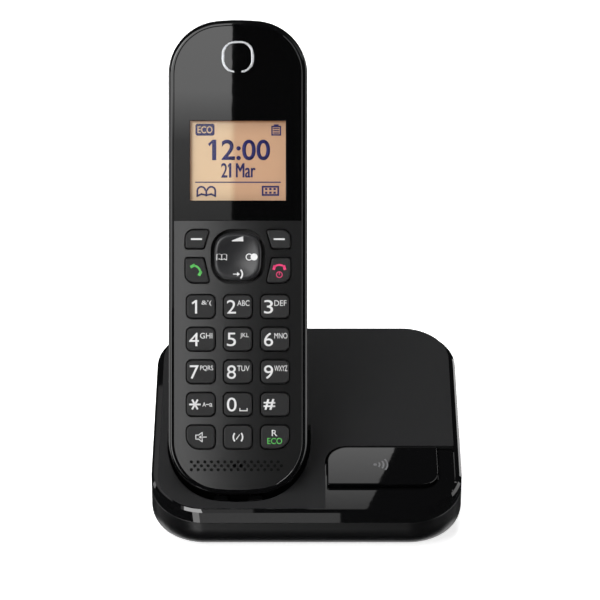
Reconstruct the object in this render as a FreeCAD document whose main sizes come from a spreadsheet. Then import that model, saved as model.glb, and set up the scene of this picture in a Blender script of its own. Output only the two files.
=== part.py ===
import FreeCAD, Part
import math
import os
import Sketcher
from FreeCAD import Placement, Rotation, Vector

doc = FreeCAD.newDocument("CordlessPhone")

# Driving dimensions in millimetres and degrees: alias, value.
DIMENSIONS = (
    # base housing
    ("base_width", 108), ("base_depth", 93), ("base_corner", 19), ("base_front_height", 17.45),
    ("deck_slope", 14), ("band_depth", 4.6), ("band_bevel", 0.8), ("base_blank_height", 48),
    ("foot_height", 1), ("foot_radius", 4), ("foot_across", 36), ("foot_along", 33),
    ("belly_round", 9), ("case_wall", 1.7), ("frame_side", 2.3), ("frame_front", 1.2), ("plate_length", 94.6),
    ("plate_thick", 1.5), ("plate_corner", 16.7),
    # locator button and the low gloss panel it stands in
    ("panel_left", 6.5), ("panel_top", 32.7), ("panel_depth", 1.6), ("panel_corner", 8),
    ("button_left", 7.1), ("button_right", 45.8), ("button_front", 13.2), ("button_back", 32.2),
    ("button_lead_corner", 7.4), ("button_tail_corner", 6), ("button_small_corner", 0.8),
    ("button_gap", 0.3), ("button_skirt", 5.5), ("button_flange", 1), ("button_flange_thick", 0.7),
    ("button_wall", 1.4), ("button_stem", 2.5), ("button_edge", 0.5),
    ("board_top", 10.9), ("board_thick", 1.6), ("switch_size", 6), ("switch_height", 4.2),
    ("base_board_left", 6), ("base_board_width", 29), ("base_board_front", 10), ("base_board_length", 62),
    # cradle well
    ("well_gap", 1.2), ("well_drop", 0.9), ("well_wall", 1.6), ("well_back_gap", 1.2),
    ("well_lead", 6),
    # sprung charge contacts
    ("contact_across", 6), ("contact_width", 2.4), ("contact_length", 6), ("contact_back", 16),
    ("contact_gap", 0.3), ("contact_flange", 0.8), ("contact_clear", 0.3), ("contact_top", 0.15),
    ("contact_shoulder", 1), ("guard_gap", 0.25), ("guard_wide", 4.6), ("guard_front", 3),
    ("guard_long", 8), ("pad_width", 4), ("pad_face", 0.3), ("pad_back", 1.4),
    ("pad_length", 7.5),
    # sockets and screws
    ("socket_across", 30), ("socket_size", 13), ("socket_low", 11.5), ("socket_deep", 16),
    ("socket_mouth", 9.8), ("socket_mouth_high", 7), ("socket_hole", 12), ("socket_key", 4.2),
    ("inlet_across", 9), ("inlet_width", 10), ("inlet_bore", 2.9), ("inlet_hole", 9),
    ("inlet_pin", 0.65), ("inlet_pin_long", 7.5),
    ("screw_across", 40), ("screw_along", 16), ("screw_radius", 1.3), ("screw_head", 2.8),
    ("screw_head_high", 0.9), ("screw_head_gap", 0.2), ("screw_inset", 0.3), ("screw_long", 14),
    ("boss_radius", 3.5),
    # handset shell
    ("handset_across", -23.7), ("handset_forward", -39.3), ("handset_foot", 19.3), ("lean", 27),
    ("handset_width", 48), ("handset_length", 164.2), ("handset_thick", 26), ("handset_corner", 18.5),
    ("handset_crown", 69), ("handset_round", 4), ("front_depth", 11), ("front_round", 1.3),
    ("shell_wall", 1.8),
    ("rim", 2), ("inlay_depth", 2), ("web_bottom", 3.2), ("taper_start", 112), ("taper_thick", 19),
    ("foot_thick", 22.4), ("upper_hollow", 17),
    ("hollow_width", 43), ("hollow_low", 12), ("panel_split", 94.85), ("split_gap", 0.1),
    # display, receiver and microphone
    ("screen_width", 33), ("screen_low", 101.8), ("screen_length", 27.5), ("glass_margin", 1.5),
    ("glass_thick", 2.1), ("light_thick", 1.3), ("lens_thick", 1.9), ("ring_size", 11.1),
    ("ring_stroke", 0.9), ("ring_corner", 4.6), ("ring_height", 151.3), ("ring_deep", 1.2),
    ("ring_proud", 0.25), ("ring_gap", 2.4), ("sound_hole", 3),
    ("receiver_radius", 6.5), ("receiver_thick", 4), ("mic_height", 10.3), ("mic_radius", 2.6),
    ("mic_thick", 2), ("mic_hole", 0.65), ("mic_pitch", 2.3), ("mic_row", 1.35), ("dimple_radius", 0.55),
    ("dimple_deep", 0.5), ("dimple_left", -16), ("dimple_count", 14), ("groove_width", 16.5),
    ("groove_tall", 1.5), ("groove_deep", 0.3),
    # keypad
    ("key_width", 9.7), ("key_tall", 8.05), ("key_corner", 1.8), ("key_outer_corner", 4.3),
    ("key_pitch_across", 12.78), ("key_pitch_up", 11.24), ("key_bottom_row", 20.25), ("key_proud", 0.9),
    ("key_root", 3.4), ("key_flange", 0.6), ("key_flange_thick", 0.6), ("key_gap", 0.4), ("key_edge", 0.45),
    ("pip_radius", 0.45), ("pip_high", 0.3), ("pip_left", 0.4), ("pip_down", 0.5),
    ("side_key_out", 18.07), ("side_key_near", 9.73), ("side_key_far", 11.8), ("soft_low", 85.2),
    ("soft_high", 91.7), ("call_low", 73.4), ("call_high", 82), ("side_key_corner", 3),
    ("side_key_small_corner", 0.8),
    ("pad_size", 16.4), ("pad_corner", 6.5), ("pad_centre", 82.4), ("pad_proud", 1.1), ("pad_root", 3.6),
    ("pad_well_width", 18.8), ("pad_well_tall", 19.1), ("pad_well_corner", 7.4), ("pad_edge", 0.6),
    ("rocker_radius", 3.5), ("rocker_top", 3.8), ("rocker_thick", 0.8),
    ("mat_top", 5), ("mat_thick", 0.5), ("mat_width", 40), ("mat_low", 14), ("mat_high", 94),
    ("circuit_thick", 1.6), ("circuit_width", 40), ("circuit_low", 5), ("circuit_high", 138),
    ("circuit_corner", 14),
    # battery
    ("door_width", 37.6), ("door_low", 20), ("door_high", 104), ("door_thick", 1.5), ("door_gap", 0.15),
    ("door_corner", 4), ("cell_radius", 5.25), ("cell_long", 44.5), ("cell_low", 48), ("cell_spread", 5.7),
    ("cell_depth", 18.4), ("tray_width", 26), ("tray_low", 43), ("tray_high", 98), ("tray_wall", 1),
    ("tray_top", 11.6), ("spring_thick", 0.5), ("spring_gap", 0.4), ("nub_radius", 2), ("nub_long", 0.8),
    ("can_width", 26), ("can_tall", 22), ("can_thick", 2.4), ("can_height", 60),
    ("ringer_radius", 9), ("ringer_thick", 4), ("ringer_height", 122), ("ringer_hole", 0.8),
    ("ringer_pitch", 3.4),
)

sheet = doc.addObject("Spreadsheet::Sheet", "Dims")
for row, (alias, number) in enumerate(DIMENSIONS, start=1):
    sheet.set("A%d" % row, alias)
    sheet.set("B%d" % row, str(number))
    sheet.setAlias("B%d" % row, alias)
doc.recompute()

HANDSET = "handset"
BASE = "base"
FRAMES = {
    HANDSET: "placement(vector(Dims.handset_across; Dims.handset_forward; Dims.handset_foot);"
             " rotation(vector(1; 0; 0); 90 - Dims.lean))",
    BASE: "placement(vector(0; 0; 0); rotation(vector(1; 0; 0); 0))",
}
nodes = []


def dim(alias):
    """The number in a cell of the sheet."""
    return float(sheet.get(alias))


def bound(text):
    """An expression with each alias written as a reference to the sheet."""
    words = []
    word = ""
    for letter in text + " ":
        if letter.isalnum() or letter in "_.":
            word += letter
            continue
        words.append("Dims." + word if word in ALIASES else word)
        words.append(letter)
        word = ""
    return "".join(words).strip()


def number(text):
    """The value of an expression, for a sketch's first shape and for choosing edges."""
    return float(sheet.evalExpression(bound(text)))


ALIASES = {alias for alias, value in DIMENSIONS}


def piece(label, frame):
    """An empty body in the handset's frame or in the base's, which becomes one node."""
    body = doc.addObject("PartDesign::Body", label)
    body.Label = label
    body.setExpression("Placement", FRAMES[frame])
    nodes.append(body)
    return body


def sketch(body, x="0", y="0", z="0", tilt="0", role="XY_Plane"):
    """A sketch on an origin plane of its own body, moved and tilted about X."""
    made = body.newObject("Sketcher::SketchObject", body.Name + "_sketch")
    plane = [feature for feature in body.Origin.OriginFeatures if feature.Role == role][0]
    made.AttachmentSupport = [(plane, "")]
    made.MapMode = "FlatFace"
    made.AttachmentOffset = Placement(Vector(0, 0, 0), Rotation(Vector(1, 0, 0), number(tilt)))
    for axis, text in zip("xyz", (x, y, z)):
        made.setExpression(".AttachmentOffset.Base." + axis, bound(text))
    if tilt != "0":
        made.setExpression(".AttachmentOffset.Rotation.Angle", bound(tilt))
    return made


def constrain(made, kind, *items):
    """One constraint whose last item is an expression."""
    text = items[-1]
    index = made.addConstraint(Sketcher.Constraint(kind, *items[:-1], number(text)))
    made.setExpression("Constraints[%d]" % index, bound(text))


def corner_arc(x, y, radius, start):
    """A quarter arc about a centre, from a start angle in quarter turns."""
    circle = Part.Circle(Vector(x, y, 0), Vector(0, 0, 1), radius)
    return Part.ArcOfCircle(circle, start * math.pi / 2, (start + 1) * math.pi / 2)


def rounded_box(made, width, tall, radii, x="0", y="0"):
    """A rectangle with four corner radii, from the lower right one anticlockwise."""
    if isinstance(radii, str):
        radii = (radii,) * 4
    left = number("%s - (%s) / 2" % (x, width))
    right = number("%s + (%s) / 2" % (x, width))
    low = number("%s - (%s) / 2" % (y, tall))
    high = number("%s + (%s) / 2" % (y, tall))
    lower_right, upper_right, upper_left, lower_left = [number(radius) for radius in radii]
    first = made.GeometryCount
    shapes = [
        Part.LineSegment(Vector(left + lower_left, low, 0), Vector(right - lower_right, low, 0)),
        corner_arc(right - lower_right, low + lower_right, lower_right, 3),
        Part.LineSegment(Vector(right, low + lower_right, 0), Vector(right, high - upper_right, 0)),
        corner_arc(right - upper_right, high - upper_right, upper_right, 0),
        Part.LineSegment(Vector(right - upper_right, high, 0), Vector(left + upper_left, high, 0)),
        corner_arc(left + upper_left, high - upper_left, upper_left, 1),
        Part.LineSegment(Vector(left, high - upper_left, 0), Vector(left, low + lower_left, 0)),
        corner_arc(left + lower_left, low + lower_left, lower_left, 2),
    ]
    made.addGeometry(shapes, False)
    for turn in range(8):
        joint = Sketcher.Constraint("Tangent", first + turn, 2, first + (turn + 1) % 8, 1)
        made.addConstraint(joint)
    for side in (0, 4):
        made.addConstraint(Sketcher.Constraint("Horizontal", first + side))
        made.addConstraint(Sketcher.Constraint("Vertical", first + side + 2))
    for turn, radius in enumerate(radii):
        constrain(made, "Radius", first + 2 * turn + 1, radius)
    constrain(made, "DistanceX", -1, 1, first + 2, 1, "%s + (%s) / 2" % (x, width))
    constrain(made, "DistanceX", -1, 1, first + 6, 1, "%s - (%s) / 2" % (x, width))
    constrain(made, "DistanceY", -1, 1, first + 0, 1, "%s - (%s) / 2" % (y, tall))
    constrain(made, "DistanceY", -1, 1, first + 4, 1, "%s + (%s) / 2" % (y, tall))


def polygon(made, points):
    """A closed outline of straight lines through bound points."""
    first = made.GeometryCount
    places = [Vector(number(x), number(y), 0) for x, y in points]
    count = len(points)
    made.addGeometry([Part.LineSegment(places[n], places[(n + 1) % count]) for n in range(count)], False)
    for n in range(count):
        made.addConstraint(Sketcher.Constraint("Coincident", first + n, 2, first + (n + 1) % count, 1))
    for n, (x, y) in enumerate(points):
        constrain(made, "DistanceX", -1, 1, first + n, 1, x)
        constrain(made, "DistanceY", -1, 1, first + n, 1, y)


def rectangle(made, left, right, low, high):
    """An upright rectangle between four bound edges."""
    polygon(made, ((left, low), (right, low), (right, high), (left, high)))


def circle(made, radius, x="0", y="0"):
    """A circle about a bound centre."""
    index = made.addGeometry(Part.Circle(Vector(number(x), number(y), 0), Vector(0, 0, 1), number(radius)))
    constrain(made, "Radius", index, radius)
    constrain(made, "DistanceX", -1, 1, index, 3, x)
    constrain(made, "DistanceY", -1, 1, index, 3, y)


def handset_outline(made, inset="0", drop="0"):
    """The handset's front outline, set in by a distance: straight sides and crowned ends."""
    half = number("handset_width / 2 - (%s)" % inset)
    corner = number("handset_corner - (%s)" % inset)
    crown = number("handset_crown - (%s)" % inset)
    low_centre = number("handset_crown - (%s)" % drop)
    high_centre = number("handset_length - handset_crown")
    reach = math.sqrt((crown - corner) ** 2 - (half - corner) ** 2)
    swing = math.atan2(half - corner, reach)
    up = Vector(0, 0, 1)
    first = made.GeometryCount

    def arc(x, y, radius, start, end):
        return Part.ArcOfCircle(Part.Circle(Vector(x, y, 0), up, radius), start, end)

    quarter = math.pi / 2
    spread = half - corner
    top = high_centre + reach
    bottom = low_centre - reach
    shapes = [
        Part.LineSegment(Vector(half, bottom, 0), Vector(half, top, 0)),
        arc(spread, top, corner, 0, quarter - swing),
        arc(0, high_centre, crown, quarter - swing, quarter + swing),
        arc(-spread, top, corner, quarter + swing, 2 * quarter),
        Part.LineSegment(Vector(-half, top, 0), Vector(-half, bottom, 0)),
        arc(-spread, bottom, corner, 2 * quarter, 3 * quarter - swing),
        arc(0, low_centre, crown, 3 * quarter - swing, 3 * quarter + swing),
        arc(spread, bottom, corner, 3 * quarter + swing, 4 * quarter),
    ]
    made.addGeometry(shapes, False)
    for turn in range(8):
        joint = Sketcher.Constraint("Tangent", first + turn, 2, first + (turn + 1) % 8, 1)
        made.addConstraint(joint)
    for side in (0, 4):
        made.addConstraint(Sketcher.Constraint("Vertical", first + side))
    for crown_arc in (2, 6):
        made.addConstraint(Sketcher.Constraint("PointOnObject", first + crown_arc, 3, -2))
        constrain(made, "Radius", first + crown_arc, "handset_crown - (%s)" % inset)
    for corner_turn in (1, 3, 5, 7):
        constrain(made, "Radius", first + corner_turn, "handset_corner - (%s)" % inset)
    constrain(made, "DistanceY", -1, 1, first + 2, 3, "handset_length - handset_crown")
    constrain(made, "DistanceY", -1, 1, first + 6, 3, "handset_crown - (%s)" % drop)


def pad(body, profile, length, down=False):
    """Material from a sketch, along its normal or against it."""
    feature = body.newObject("PartDesign::Pad", body.Name + "_pad")
    feature.Profile = (profile, [""])
    feature.setExpression("Length", bound(length))
    feature.Reversed = down
    return feature


def pocket(body, profile, length, up=False):
    """Material taken away from a sketch, against its normal or along it."""
    doc.recompute()
    before = body.Tip.Shape.Volume
    feature = body.newObject("PartDesign::Pocket", body.Name + "_pocket")
    feature.Profile = (profile, [""])
    feature.setExpression("Length", bound(length))
    feature.Reversed = up
    doc.recompute()
    if not feature.Shape.Volume < before - 1e-3:
        raise ValueError("a pocket of %s cut nothing" % body.Label)
    return feature


def dress(body, kind, size_name, size, chosen):
    """Rounds or bevels the edges that a test picks from the body so far."""
    doc.recompute()
    base = body.Tip
    names = ["Edge%d" % (n + 1) for n, edge in enumerate(base.Shape.Edges) if chosen(edge)]
    if not names:
        raise ValueError("no edge to dress on %s" % body.Label)
    feature = body.newObject("PartDesign::" + kind, body.Name + "_" + kind.lower())
    feature.Base = (base, names)
    feature.setExpression(size_name, bound(size))


def fillet(body, radius, chosen):
    """Rounds the chosen edges."""
    dress(body, "Fillet", "Radius", radius, chosen)


def chamfer(body, size, chosen):
    """Bevels the chosen edges."""
    dress(body, "Chamfer", "Size", size, chosen)


def level(height, normal=Vector(0, 0, 1), origin=Vector(0, 0, 0)):
    """A test for edges that lie in a plane at a height along a normal."""
    def chosen(edge):
        ends = [edge.valueAt(edge.FirstParameter), edge.valueAt(edge.LastParameter)]
        ends.append(edge.valueAt((edge.FirstParameter + edge.LastParameter) / 2))
        return all(abs((end - origin).dot(normal) - height) < 1e-4 for end in ends)
    return chosen


def upright(x, y, reach=0.01):
    """A test for straight edges along Z at a place."""
    def chosen(edge):
        ends = [edge.valueAt(edge.FirstParameter), edge.valueAt(edge.LastParameter)]
        same = all(abs(end.x - x) < reach and abs(end.y - y) < reach for end in ends)
        return same and abs(ends[0].z - ends[1].z) > 0.1
    return chosen


def block(label, frame, sides, z, thick):
    """A plain block between four edges, from z upwards, for boards, modules and chips."""
    body = piece(label, frame)
    profile = sketch(body, z=z)
    rectangle(profile, *sides)
    pad(body, profile, thick)
    return body


def disc(label, frame, radius, x, y, z, thick):
    """A plain round piece from z upwards."""
    body = piece(label, frame)
    profile = sketch(body, z=z)
    circle(profile, radius, x, y)
    pad(body, profile, thick)
    return body


# A point on the front top edge of the base, where the sloping deck starts, and the deck's normal.
DECK_ORIGIN = Vector(0, -dim("base_depth") / 2, dim("base_front_height"))
SLOPE = math.radians(dim("deck_slope"))
DECK_NORMAL = Vector(0, -math.sin(SLOPE), math.cos(SLOPE))


def deck_sketch(body, below="0"):
    """A sketch in the deck's plane or below it: X across, Y up the slope from the front edge."""
    y = "(%s) * sin(deck_slope) - base_depth / 2" % below
    z = "base_front_height - (%s) * cos(deck_slope)" % below
    return sketch(body, "0", y, z, "deck_slope")


def cut_along_deck(body, below, up):
    """Takes away all that is above or below a plane parallel to the deck."""
    profile = deck_sketch(body, below)
    rectangle(profile, "-base_width", "base_width", "-base_depth", "2 * base_depth")
    pocket(body, profile, "2 * handset_length", up)


def cradle_sketch(body, ahead="0"):
    """A sketch parallel to the docked handset's front face, ahead of it by a distance."""
    y = "handset_forward - (%s) * cos(lean)" % ahead
    z = "handset_foot + (%s) * sin(lean)" % ahead
    return sketch(body, "handset_across", y, z, "90 - lean")


def button_outline(profile, grow):
    """The locator button's outline: two sharp corners and two round ones."""
    middle_x = "(button_left + button_right) / 2"
    middle_y = "(button_front + button_back) / 2"
    width = "button_right - button_left + 2 * (%s)" % grow
    tall = "button_back - button_front + 2 * (%s)" % grow
    small = "button_small_corner + (%s)" % grow
    radii = ("button_tail_corner + (%s)" % grow, small, "button_lead_corner + (%s)" % grow, small)
    rounded_box(profile, width, tall, radii, middle_x, middle_y)


def socket_sketch(body, back, across, width, z_low, tall):
    """A rectangle across the back wall, seen along Y, at a distance in from the back."""
    profile = sketch(body, role="XZ_Plane", z="-(base_depth / 2 - (%s))" % back)
    rectangle(profile, "%s - (%s) / 2" % (across, width), "%s + (%s) / 2" % (across, width),
              z_low, "%s + (%s)" % (z_low, tall))
    return profile


# ---- base upper case: the glossy frame, the low panel and the cradle well in one moulding ----
upper = piece("base_upper_case", BASE)
profile = sketch(upper, z="foot_height")
rounded_box(profile, "base_width", "base_depth", "base_corner")
pad(upper, profile, "base_blank_height")
cut_along_deck(upper, "band_depth", up=False)
profile = cradle_sketch(upper, "well_lead")
handset_outline(profile, "-well_gap - well_wall", "well_drop")
pad(upper, profile, "handset_thick + well_back_gap + well_wall + well_lead", down=True)
for side in ("-1", "1"):
    profile = sketch(upper, z="foot_height + case_wall")
    circle(profile, "boss_radius", side + " * screw_across", "screw_along")
    pad(upper, profile, "base_blank_height")
cut_along_deck(upper, "0", up=True)
chamfer(upper, "band_bevel", level(0, DECK_NORMAL, DECK_ORIGIN))
profile = deck_sketch(upper)
rounded_box(profile, "base_width - 2 * frame_side", "plate_length", "plate_corner",
            y="frame_front + plate_length / 2")
pocket(upper, profile, "plate_thick")
profile = deck_sketch(upper)
rounded_box(profile, "base_width / 2 - frame_side - panel_left", "panel_top - frame_front",
            ("plate_corner", "0.5", "panel_corner", "0.5"),
            "(base_width / 2 - frame_side + panel_left) / 2", "(panel_top + frame_front) / 2")
pocket(upper, profile, "panel_depth")
profile = deck_sketch(upper)
button_outline(profile, "button_gap")
pocket(upper, profile, "2 * band_depth")
profile = cradle_sketch(upper, "3 * well_lead")
handset_outline(profile, "-well_gap", "well_drop")
pocket(upper, profile, "handset_thick + well_back_gap + 3 * well_lead")
for side in ("-1", "1"):
    profile = cradle_sketch(upper, "-guard_front")
    rectangle(profile, side + " * contact_across - guard_wide / 2",
              side + " * contact_across + guard_wide / 2",
              "-well_gap - well_drop - well_wall / 2", "-guard_gap")
    pad(upper, profile, "guard_long", down=True)
    profile = cradle_sketch(upper, "-contact_back - contact_length / 2 - contact_gap")
    rectangle(profile, side + " * contact_across - contact_width / 2 - contact_gap",
              side + " * contact_across + contact_width / 2 + contact_gap",
              "-well_gap - well_drop - 2 * well_wall", "0")
    pocket(upper, profile, "contact_length + 2 * contact_gap", up=True)
    profile = sketch(upper, z="foot_height + case_wall")
    circle(profile, "screw_radius", side + " * screw_across", "screw_along")
    pocket(upper, profile, "screw_long", up=True)


# ---- base top plate: the matt cover laid into the deck, with the low corner and the well cut out ----
plate = piece("base_top_plate", BASE)
profile = deck_sketch(plate)
rounded_box(profile, "base_width - 2 * frame_side", "plate_length", "plate_corner",
            y="frame_front + plate_length / 2")
pad(plate, profile, "plate_thick", down=True)
profile = deck_sketch(plate)
rounded_box(profile, "base_width / 2 - panel_left", "panel_top + frame_front",
            ("0.5", "0.5", "panel_corner", "0.5"), "(base_width / 2 + panel_left) / 2",
            "(panel_top - frame_front) / 2")
pocket(plate, profile, "2 * plate_thick")
profile = cradle_sketch(plate, "3 * well_lead")
handset_outline(profile, "-well_gap", "well_drop")
pocket(plate, profile, "handset_thick + well_back_gap + 3 * well_lead")

# ---- base lower case: a thin tub with a rounded belly, with openings for the sockets and screws ----
lower = piece("base_lower_case", BASE)
profile = sketch(lower, z="foot_height")
rounded_box(profile, "base_width", "base_depth", "base_corner")
pad(lower, profile, "base_blank_height")
cut_along_deck(lower, "band_depth", up=True)
fillet(lower, "belly_round", level(dim("foot_height")))
doc.recompute()
tub = lower.Tip
open_face = [n for n, face in enumerate(tub.Shape.Faces, start=1)
             if abs((face.CenterOfMass - DECK_ORIGIN).dot(DECK_NORMAL) + dim("band_depth")) < 1e-4]
shell = lower.newObject("PartDesign::Thickness", "base_lower_case_shell")
shell.Base = (tub, ["Face%d" % open_face[0]])
shell.setExpression("Value", bound("case_wall"))
shell.Reversed = True
profile = socket_sketch(lower, "0", "socket_across", "socket_size", "socket_low", "socket_size")
pocket(lower, profile, "2 * case_wall", up=True)
profile = socket_sketch(lower, "0", "inlet_across", "inlet_width", "socket_low", "socket_size")
pocket(lower, profile, "2 * case_wall", up=True)
for side in ("-1", "1"):
    profile = sketch(lower, z="foot_height")
    circle(profile, "screw_head + screw_head_gap", side + " * screw_across", "screw_along")
    pocket(lower, profile, "screw_inset + screw_head_high", up=True)
    profile = sketch(lower, z="foot_height")
    circle(profile, "screw_radius + screw_head_gap", side + " * screw_across", "screw_along")
    pocket(lower, profile, "2 * case_wall", up=True)

for end, along in (("front", "-1"), ("back", "1")):
    for side, across in (("left", "-1"), ("right", "1")):
        disc("base_foot_%s_%s" % (end, side), BASE, "foot_radius", across + " * foot_across",
             along + " * foot_along", "0", "foot_height")

for side, across in (("left", "-1"), ("right", "1")):
    screw = disc("base_screw_" + side, BASE, "screw_head", across + " * screw_across", "screw_along",
                 "foot_height + screw_inset", "screw_head_high")
    profile = sketch(screw, z="foot_height + screw_inset")
    circle(profile, "screw_radius", across + " * screw_across", "screw_along")
    pad(screw, profile, "screw_long")

# ---- locator button: a hollow cap in the low panel, with a flange and a stem over its switch ----
button = piece("locator_button", BASE)
profile = deck_sketch(button)
button_outline(profile, "0")
pad(button, profile, "button_skirt", down=True)
fillet(button, "button_edge", level(0, DECK_NORMAL, DECK_ORIGIN))
profile = deck_sketch(button, "button_skirt")
button_outline(profile, "button_flange")
pad(button, profile, "button_flange_thick")
profile = deck_sketch(button, "button_skirt")
rounded_box(profile, "button_right - button_left - 2 * button_wall",
            "button_back - button_front - 2 * button_wall", "button_tail_corner",
            "(button_left + button_right) / 2", "(button_front + button_back) / 2")
pocket(button, profile, "button_skirt - button_wall", up=True)
profile = deck_sketch(button, "button_skirt")
circle(profile, "button_stem", "(button_left + button_right) / 2", "(button_front + button_back) / 2")
pad(button, profile, "button_skirt - button_wall")

board = piece("base_circuit_board", BASE)
profile = deck_sketch(board, "board_top")
rectangle(profile, "base_board_left", "base_board_left + base_board_width", "base_board_front",
          "base_board_front + base_board_length")
pad(board, profile, "board_thick", down=True)

switch = piece("locator_switch", BASE)
profile = deck_sketch(switch, "board_top")
rounded_box(profile, "switch_size", "switch_size", "0.5", "(button_left + button_right) / 2",
            "(button_front + button_back) / 2")
pad(switch, profile, "switch_height")

# ---- sockets in the back wall ----
socket = piece("line_socket", BASE)
profile = socket_sketch(socket, "0", "socket_across", "socket_size", "socket_low", "socket_size")
pad(socket, profile, "socket_deep")
mouth_low = "socket_low + (socket_size - socket_mouth_high) / 2"
profile = socket_sketch(socket, "0", "socket_across", "socket_mouth", mouth_low, "socket_mouth_high")
pocket(socket, profile, "socket_hole", up=True)
profile = socket_sketch(socket, "0", "socket_across", "socket_key", "socket_low + socket_key / 4",
                        "socket_key")
pocket(socket, profile, "socket_hole / 2", up=True)

inlet = piece("dc_inlet", BASE)
profile = socket_sketch(inlet, "0", "inlet_across", "inlet_width", "socket_low", "socket_size")
pad(inlet, profile, "socket_deep")
profile = sketch(inlet, role="XZ_Plane", z="-base_depth / 2")
circle(profile, "inlet_bore", "inlet_across", "socket_low + socket_size / 2")
pocket(inlet, profile, "inlet_hole", up=True)
profile = sketch(inlet, role="XZ_Plane", z="inlet_hole - base_depth / 2")
circle(profile, "inlet_pin", "inlet_across", "socket_low + socket_size / 2")
pad(inlet, profile, "inlet_pin_long", down=True)

# ---- sprung charge contacts that stand up through the floor of the well ----
for side, across in (("left", "-1"), ("right", "1")):
    contact = piece("charge_contact_" + side, HANDSET)
    floor = "well_gap + well_drop + well_wall"
    profile = sketch(contact, z="-contact_back - contact_length / 2")
    rectangle(profile, across + " * contact_across - contact_width / 2",
              across + " * contact_across + contact_width / 2",
              "-(%s) - contact_clear - contact_flange" % floor, "-contact_top")
    pad(contact, profile, "contact_length")
    profile = sketch(contact, z="-contact_back - contact_length / 2 - contact_shoulder")
    rectangle(profile, across + " * contact_across - contact_width / 2 - contact_shoulder",
              across + " * contact_across + contact_width / 2 + contact_shoulder",
              "-(%s) - contact_clear - contact_flange" % floor, "-(%s) - contact_clear" % floor)
    pad(contact, profile, "contact_length + 2 * contact_shoulder")

# ---- handset keypad: names, and the outlines that the keys, the fascia and the front case share ----
KEY_ROWS = (
    ("key_1", "key_2", "key_3"),
    ("key_4", "key_5", "key_6"),
    ("key_7", "key_8", "key_9"),
    ("key_star", "key_0", "key_hash"),
    ("speaker_key", "mute_key", "recall_key"),
)
SIDE_KEYS = (
    ("soft_key_left", "-1", "soft_low", "soft_high", "side_key_near", "side_key_far", "soft_high"),
    ("soft_key_right", "1", "soft_low", "soft_high", "side_key_near", "side_key_far", "soft_high"),
    ("talk_key", "-1", "call_low", "call_high", "side_key_far", "side_key_near", "call_low"),
    ("off_key", "1", "call_low", "call_high", "side_key_far", "side_key_near", "call_low"),
)


def key_outline(profile, row, column, grow):
    """A digit key's outline; the two at the handset's foot have a rounder outer corner."""
    corner = "key_corner + (%s)" % grow
    outer = "key_outer_corner + (%s)" % grow
    last = row == len(KEY_ROWS) - 1
    right = outer if last and column == 2 else corner
    left = outer if last and column == 0 else corner
    radii = (right, corner, corner, left)
    rounded_box(profile, "key_width + 2 * (%s)" % grow, "key_tall + 2 * (%s)" % grow, radii,
                "%d * key_pitch_across" % (column - 1),
                "key_bottom_row + %d * key_pitch_up" % (len(KEY_ROWS) - 1 - row))


def side_key_outline(profile, side_key, grow):
    """A key beside the navigator: its inner edge slants along the round pad."""
    name, side, low, high, inner_top, inner_low, round_end = side_key
    outer = "%s * (side_key_out + (%s))" % (side, grow)
    polygon(profile, (
        (outer, "%s - (%s)" % (low, grow)),
        (outer, "%s + (%s)" % (high, grow)),
        ("%s * (%s - (%s))" % (side, inner_top, grow), "%s + (%s)" % (high, grow)),
        ("%s * (%s - (%s))" % (side, inner_low, grow), "%s - (%s)" % (low, grow)),
    ))


def round_side_key(body, side_key, grow):
    """Rounds the corners of a side key's outline or of its opening, one of them wider than the rest."""
    name, side, low, high, inner_top, inner_low, round_end = side_key
    outer = "side_key_out + (%s)" % grow
    inner = ["%s - (%s)" % (place, grow) for place in (inner_top, inner_low)]
    corners = ((outer, low, "-"), (outer, high, "+"), (inner[0], high, "+"), (inner[1], low, "-"))
    for across, along, end in corners:
        wide = across == outer and along == round_end
        corner = upright(number("%s * (%s)" % (side, across)), number("%s %s (%s)" % (along, end, grow)))
        fillet(body, ("side_key_corner" if wide else "side_key_small_corner") + " + (%s)" % grow, corner)


def key_openings(body, depth, z="0"):
    """Cuts an opening for every key and for the navigator."""
    for row in range(len(KEY_ROWS)):
        profile = sketch(body, z=z)
        for column in range(3):
            key_outline(profile, row, column, "key_gap")
        pocket(body, profile, depth)
    profile = sketch(body, z=z)
    for side_key in SIDE_KEYS:
        side_key_outline(profile, side_key, "key_gap")
    rounded_box(profile, "pad_well_width", "pad_well_tall", "pad_well_corner", y="pad_centre")
    pocket(body, profile, depth)
    for side_key in SIDE_KEYS:
        round_side_key(body, side_key, "key_gap")


# ---- handset front case: the glossy rim, and a web behind the lens and the fascia ----
front = piece("handset_front_case", HANDSET)
profile = sketch(front)
handset_outline(profile)
pad(front, profile, "front_depth", down=True)
fillet(front, "front_round", level(0))
profile = sketch(front)
handset_outline(profile, "rim")
pocket(front, profile, "inlay_depth")
profile = sketch(front, z="-front_depth")
handset_outline(profile, "shell_wall")
pocket(front, profile, "front_depth - web_bottom", up=True)
key_openings(front, "2 * inlay_depth", "-inlay_depth")
profile = sketch(front)
rectangle(profile, "-screen_width / 2 - glass_margin", "screen_width / 2 + glass_margin",
          "screen_low - glass_margin", "screen_low + screen_length + glass_margin")
circle(profile, "sound_hole", y="ring_height")
for side in ("-1", "1"):
    circle(profile, "mic_hole", side + " * mic_pitch / 2", "mic_height")
pocket(front, profile, "2 * inlay_depth")

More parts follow.
